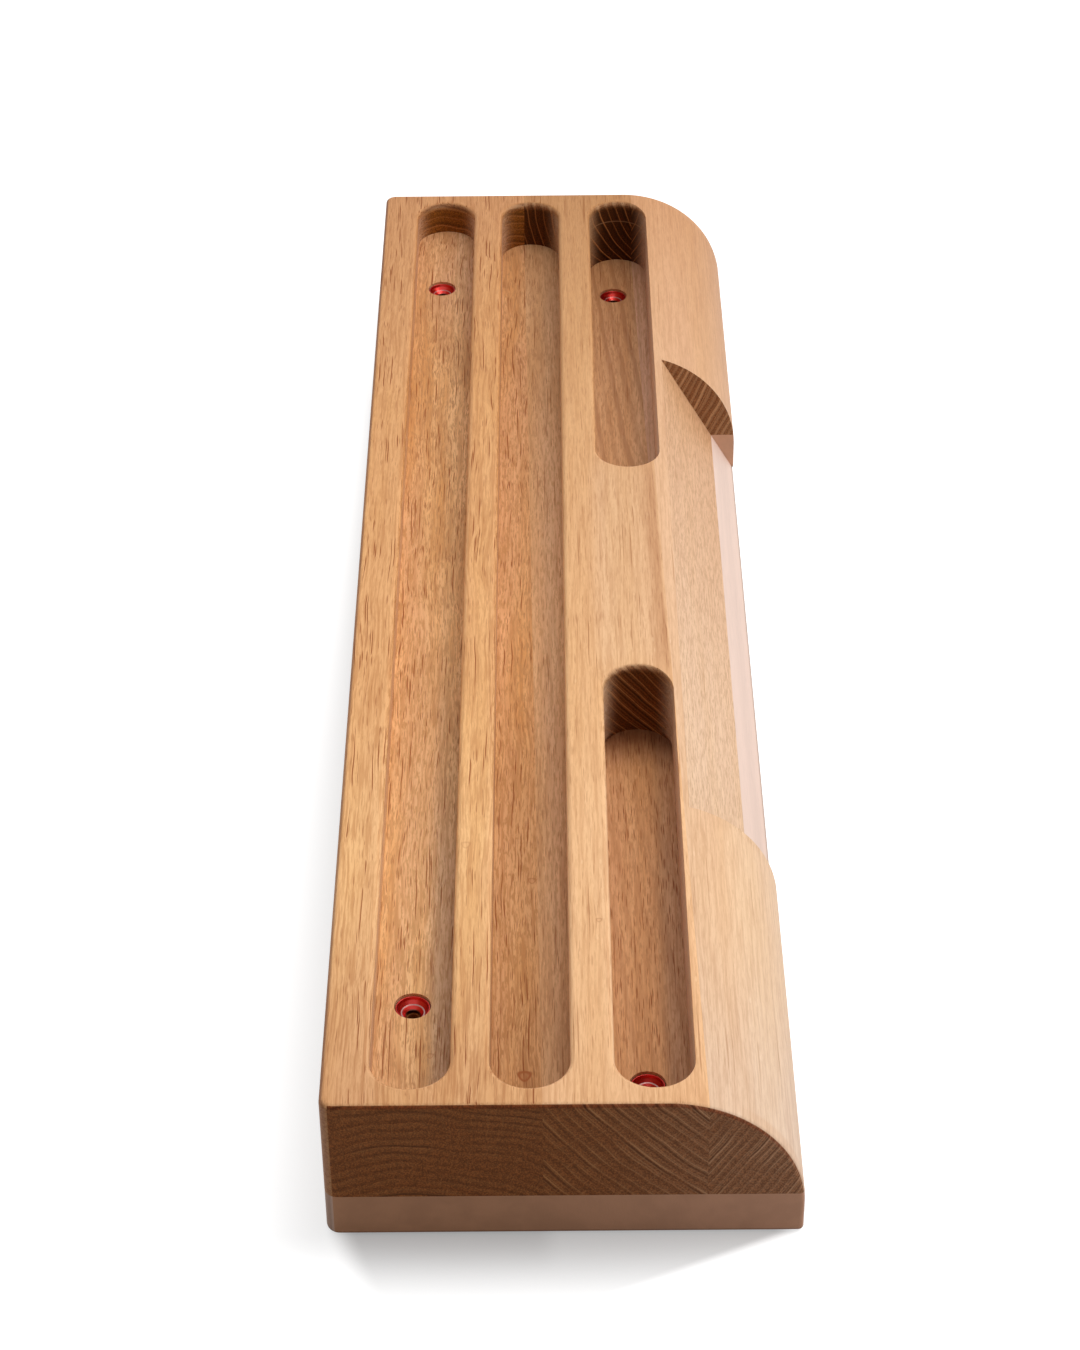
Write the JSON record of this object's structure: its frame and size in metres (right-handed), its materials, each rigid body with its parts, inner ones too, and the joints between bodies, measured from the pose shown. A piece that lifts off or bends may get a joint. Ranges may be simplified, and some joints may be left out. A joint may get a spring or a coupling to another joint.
{
  "type": "hangboard",
  "caption": "Wooden climbing hangboard with two full-length finger slots, two deep pockets, a sloper between two rounded jugs, and cup washers for its wall screws.",
  "frame": {"origin": "middle of the back face, which lies on the surface that the board rests on", "axes": "+X along the board's length, +Y towards the edge that is up when it hangs on a wall, +Z out of the front face"},
  "size_m": [0.578, 0.15, 0.056],
  "materials": {
    "oak": "sanded and lightly oiled",
    "pale_hardwood": "sanded and lightly oiled",
    "red_anodised": "red anodised, with a bright turned step"
  },
  "bodies": {
    "root": {"base_board": "pale_hardwood", "oak_stave_bottom": "oak", "oak_stave_middle": "oak", "oak_stave_top": "oak", "cup_washer_lower_left": "red_anodised", "cup_washer_lower_right": "red_anodised", "cup_washer_upper_left": "red_anodised", "cup_washer_upper_right": "red_anodised"}
  },
  "joints": []
}
